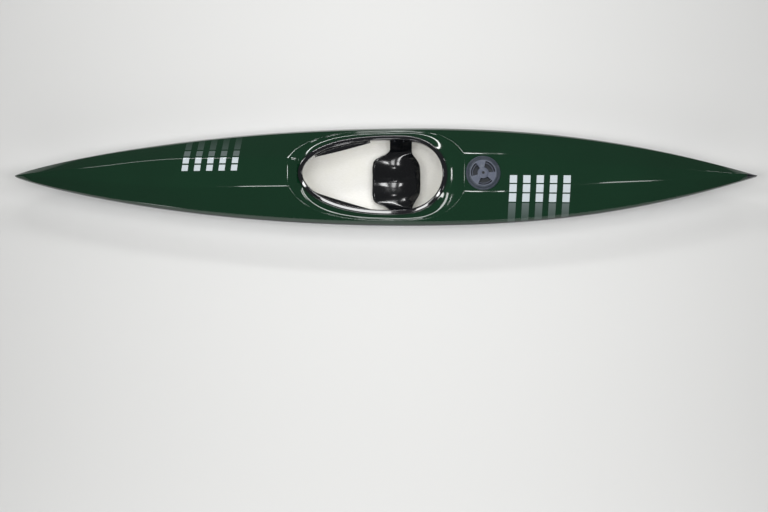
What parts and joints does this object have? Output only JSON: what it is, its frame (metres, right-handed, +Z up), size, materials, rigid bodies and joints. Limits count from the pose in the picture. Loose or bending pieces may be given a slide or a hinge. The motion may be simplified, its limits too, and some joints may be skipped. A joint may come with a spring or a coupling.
{
  "type": "touring kayak",
  "caption": "Single-seat hard-shell touring kayak with a sunk cockpit, hanging seat, sliding foot pedals, a screw-in stern hatch and a fixed skeg.",
  "frame": {"origin": "on the ground under the middle of the boat's length and beam", "axes": "+X along the boat from bow to stern, +Y to starboard, +Z up"},
  "size_m": [4.5, 0.604, 0.3195],
  "materials": {
    "hull_gelcoat": "white gelcoat, polished",
    "deck_gelcoat": "dark green gelcoat, polished",
    "seam_black": "near-black gelcoat, polished",
    "coaming_black": "glossy black laminate",
    "seat_black": "glossy black laminate",
    "hatch_grey": "moulded, satin",
    "black_plastic": "moulded, matt",
    "gasket_rubber": "matt",
    "steel": "stainless",
    "laminate": "bare laminate",
    "foam": "closed-cell foam"
  },
  "bodies": {
    "boat": {"hull_shell": "hull_gelcoat", "skeg": "hull_gelcoat", "deck_shell": "deck_gelcoat", "bow_cap": "seam_black", "stern_cap": "seam_black", "seam_band_port": "seam_black", "seam_band_starboard": "seam_black", "coaming": "coaming_black", "thigh_brace_port": "coaming_black", "thigh_brace_starboard": "coaming_black", "seat": "seat_black", "hatch_ring": "hatch_grey", "footrest_rail_port": "black_plastic", "footrest_rail_starboard": "black_plastic", "rear_bulkhead": "laminate", "bow_foam_block": "foam", "seat_bolt_1": "steel", "seat_bolt_2": "steel", "seat_bolt_3": "steel", "seat_bolt_4": "steel", "seat_nut_1": "steel", "seat_nut_2": "steel", "seat_nut_3": "steel", "seat_nut_4": "steel", "footrest_bolt_1": "steel", "footrest_bolt_2": "steel", "footrest_bolt_3": "steel", "footrest_bolt_4": "steel", "hatch_screw_1": "steel", "hatch_screw_2": "steel", "hatch_screw_3": "steel", "hatch_screw_4": "steel", "hatch_screw_5": "steel", "hatch_screw_6": "steel"},
    "hatch_seal": {"hatch_gasket": "gasket_rubber"},
    "hatch_cover": {"hatch_lid": "hatch_grey", "hatch_hub_screw": "black_plastic"},
    "pedal_port": {"footrest_pedal_port": "black_plastic"},
    "pedal_starboard": {"footrest_pedal_starboard": "black_plastic"}
  },
  "joints": [
    {"name": "hatch_lift", "type": "slide", "parent": "boat", "child": "hatch_seal", "axis": [0.0537, 0, 0.9986], "range_m": [0, 0.12]},
    {"name": "hatch_turn", "type": "hinge", "parent": "hatch_seal", "child": "hatch_cover", "pos_m": [0.58528, 0, 0.29304], "axis": [0.0537, 0, 0.9986], "range_deg": [0, 90]},
    {"name": "pedal_port_slide", "type": "slide", "parent": "boat", "child": "pedal_port", "axis": [0.9951, -0.099, 0], "range_m": [-0.17, 0.17]},
    {"name": "pedal_starboard_slide", "type": "slide", "parent": "boat", "child": "pedal_starboard", "axis": [0.9951, 0.099, 0], "range_m": [-0.17, 0.17]}
  ]
}
